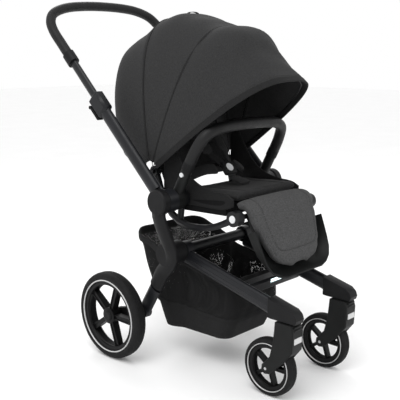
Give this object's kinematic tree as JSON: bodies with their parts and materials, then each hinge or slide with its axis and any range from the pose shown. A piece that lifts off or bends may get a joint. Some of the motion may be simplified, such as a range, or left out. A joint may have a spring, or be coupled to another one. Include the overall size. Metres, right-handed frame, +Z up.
{
  "type": "baby stroller",
  "caption": "Full-size folding baby stroller with swivel front wheels, reclining seat, canopy, bumper bar, leg rest, telescoping padded handle and basket.",
  "frame": {"origin": "middle of the footprint box on the floor under the wheels", "axes": "+Z up, -Y forward (the way the child faces), X across the stroller with +X on the child's left"},
  "size_m": [0.5526, 0.9524, 1.0901],
  "materials": {
    "frame_black": "satin black powder coat",
    "moulded_black": "fine-textured black moulding",
    "tyre": "matt foam-filled rubber",
    "grip_leather": "grained black leatherette",
    "canopy_fabric": "dark grey woven fabric",
    "pad_fabric": "dark grey melange padding",
    "basket_fabric": "black woven fabric and mesh",
    "light_grey": "light grey plastic",
    "lens": "clear light lens",
    "steel": "plated steel"
  },
  "bodies": {
    "rear_frame": {"rear_cross_bar": "frame_black", "seat_base": "canopy_fabric", "seat_cushion": "pad_fabric", "harness_buckle": "moulded_black", "basket": "basket_fabric", "canopy_rear_panel": "canopy_fabric", "canopy_rear_bow": "steel", "rear_leg_right": "moulded_black", "leg_tube_right": "frame_black", "axle_arm_right": "moulded_black", "seat_hub_right": "moulded_black", "seat_rail_right": "moulded_black", "rear_leg_left": "moulded_black", "leg_tube_left": "frame_black", "axle_arm_left": "moulded_black", "seat_hub_left": "moulded_black", "seat_rail_left": "moulded_black"},
    "front_frame": {"front_cross_bar": "moulded_black", "light_lens": "lens", "lower_tube_right": "frame_black", "lower_tube_left": "frame_black", "caster_cap_right": "moulded_black", "caster_cap_left": "moulded_black"},
    "push_bar": {"push_tube_right": "frame_black", "push_tube_left": "frame_black"},
    "handle": {"handle_grip": "grip_leather", "inner_tube_right": "frame_black", "inner_tube_left": "frame_black", "grip_collar_right": "moulded_black", "grip_collar_left": "moulded_black"},
    "handle_button": {"handle_button": "moulded_black"},
    "adjust_lever_right": {"adjust_lever_right": "moulded_black"},
    "caster_right": {"fork_right": "moulded_black", "front_axle_right": "steel"},
    "front_wheel_right": {"front_tyre_right": "tyre", "front_rim_right": "moulded_black"},
    "rear_wheel_right": {"rear_tyre_right": "tyre", "rear_rim_right": "moulded_black"},
    "calf_button_right": {"calf_button_right": "light_grey"},
    "bumper_button_right": {"bumper_button_right": "light_grey"},
    "adjust_lever_left": {"adjust_lever_left": "moulded_black"},
    "caster_left": {"fork_left": "moulded_black", "front_axle_left": "steel"},
    "front_wheel_left": {"front_tyre_left": "tyre", "front_rim_left": "moulded_black"},
    "rear_wheel_left": {"rear_tyre_left": "tyre", "rear_rim_left": "moulded_black"},
    "calf_button_left": {"calf_button_left": "light_grey"},
    "bumper_button_left": {"bumper_button_left": "light_grey"},
    "brake_pedal": {"brake_pedal": "moulded_black"},
    "backrest": {"backrest_shell": "canopy_fabric", "backrest_pad": "pad_fabric"},
    "calf_rest": {"calf_pad": "pad_fabric", "calf_shell": "moulded_black"},
    "bumper_bar": {"bumper_bar": "grip_leather"},
    "buckle_button": {"buckle_button": "light_grey"},
    "canopy_front": {"canopy_front_panel": "canopy_fabric", "canopy_front_bow": "steel"},
    "canopy_middle": {"canopy_middle_panel": "canopy_fabric", "canopy_middle_bow": "steel"}
  },
  "joints": [
    {"name": "push_bar_fold", "type": "hinge", "parent": "rear_frame", "child": "push_bar", "pos_m": [0, -0.07415, 0.517], "axis": [1, 0, 0], "range_deg": [0, 150]},
    {"name": "front_frame_fold", "type": "hinge", "parent": "rear_frame", "child": "front_frame", "pos_m": [0, -0.06115, 0.356], "axis": [1, 0, 0], "range_deg": [0, 66], "deforming": ["basket"]},
    {"name": "handle_height", "type": "slide", "parent": "push_bar", "child": "handle", "axis": [0, 0.7125, 0.7017], "range_m": [-0.09, 0]},
    {"name": "handle_button_press", "type": "slide", "parent": "handle", "child": "handle_button", "axis": [-1, 0, 0], "range_m": [0, 0.002], "stiffness_N_per_m": 600},
    {"name": "adjust_lever_right_turn", "type": "hinge", "parent": "push_bar", "child": "adjust_lever_right", "pos_m": [-0.238, 0.22404, 0.76433], "axis": [1, 0, 0], "range_deg": [0, 12], "stiffness_Nm_per_rad": 0.6},
    {"name": "caster_swivel_right", "type": "hinge", "parent": "front_frame", "child": "caster_right", "pos_m": [-0.1304, -0.43315, 0.22], "axis": [0, 0, 1], "continuous": true},
    {"name": "front_wheel_right_spin", "type": "hinge", "parent": "caster_right", "child": "front_wheel_right", "pos_m": [-0.1304, -0.38015, 0.0825], "axis": [1, 0, 0], "continuous": true},
    {"name": "rear_wheel_right_spin", "type": "hinge", "parent": "rear_frame", "child": "rear_wheel_right", "pos_m": [-0.2536, 0.13885, 0.135], "axis": [1, 0, 0], "continuous": true},
    {"name": "calf_button_right_press", "type": "slide", "parent": "rear_frame", "child": "calf_button_right", "axis": [1, 0, 0], "range_m": [0, 0.002], "stiffness_N_per_m": 500},
    {"name": "bumper_button_right_press", "type": "slide", "parent": "rear_frame", "child": "bumper_button_right", "axis": [1, 0, 0], "range_m": [0, 0.002], "stiffness_N_per_m": 500},
    {"name": "adjust_lever_left_turn", "type": "hinge", "parent": "push_bar", "child": "adjust_lever_left", "pos_m": [0.238, 0.22404, 0.76433], "axis": [1, 0, 0], "range_deg": [0, 12], "stiffness_Nm_per_rad": 0.6},
    {"name": "caster_swivel_left", "type": "hinge", "parent": "front_frame", "child": "caster_left", "pos_m": [0.1304, -0.43315, 0.22], "axis": [0, 0, 1], "continuous": true},
    {"name": "front_wheel_left_spin", "type": "hinge", "parent": "caster_left", "child": "front_wheel_left", "pos_m": [0.1304, -0.38015, 0.0825], "axis": [1, 0, 0], "continuous": true},
    {"name": "rear_wheel_left_spin", "type": "hinge", "parent": "rear_frame", "child": "rear_wheel_left", "pos_m": [0.2536, 0.13885, 0.135], "axis": [1, 0, 0], "continuous": true},
    {"name": "calf_button_left_press", "type": "slide", "parent": "rear_frame", "child": "calf_button_left", "axis": [-1, 0, 0], "range_m": [0, 0.002], "stiffness_N_per_m": 500},
    {"name": "bumper_button_left_press", "type": "slide", "parent": "rear_frame", "child": "bumper_button_left", "axis": [-1, 0, 0], "range_m": [0, 0.002], "stiffness_N_per_m": 500},
    {"name": "brake_pedal_press", "type": "hinge", "parent": "rear_frame", "child": "brake_pedal", "pos_m": [0.21, 0.15885, 0.176], "axis": [-1, 0, 0], "range_deg": [0, 14]},
    {"name": "backrest_recline", "type": "hinge", "parent": "rear_frame", "child": "backrest", "pos_m": [0, -0.00115, 0.545], "axis": [-1, 0, 0], "range_deg": [0, 38], "deforming": ["canopy_rear_panel"]},
    {"name": "calf_rest_lift", "type": "hinge", "parent": "rear_frame", "child": "calf_rest", "pos_m": [0, -0.28115, 0.488], "axis": [-1, 0, 0], "range_deg": [0, 50]},
    {"name": "bumper_bar_release", "type": "slide", "parent": "rear_frame", "child": "bumper_bar", "axis": [0, -0.4695, 0.8829], "range_m": [0, 0.024]},
    {"name": "buckle_button_press", "type": "slide", "parent": "rear_frame", "child": "buckle_button", "axis": [0, 0.766, -0.6428], "range_m": [0, 0.002], "stiffness_N_per_m": 500},
    {"name": "canopy_front_fold", "type": "hinge", "parent": "rear_frame", "child": "canopy_front", "pos_m": [0, 0.03385, 0.584], "axis": [-1, 0, 0], "range_deg": [0, 55], "deforming": ["canopy_front_panel"]},
    {"name": "canopy_middle_fold", "type": "hinge", "parent": "rear_frame", "child": "canopy_middle", "pos_m": [0, 0.03385, 0.584], "axis": [-1, 0, 0], "range_deg": [0, 25], "deforming": ["canopy_middle_panel"]}
  ],
  "couplings": [
    {"joint": "front_frame_fold", "follows": "push_bar_fold", "ratio": 0.44},
    {"joint": "canopy_middle_fold", "follows": "canopy_front_fold", "ratio": 0.45}
  ]
}
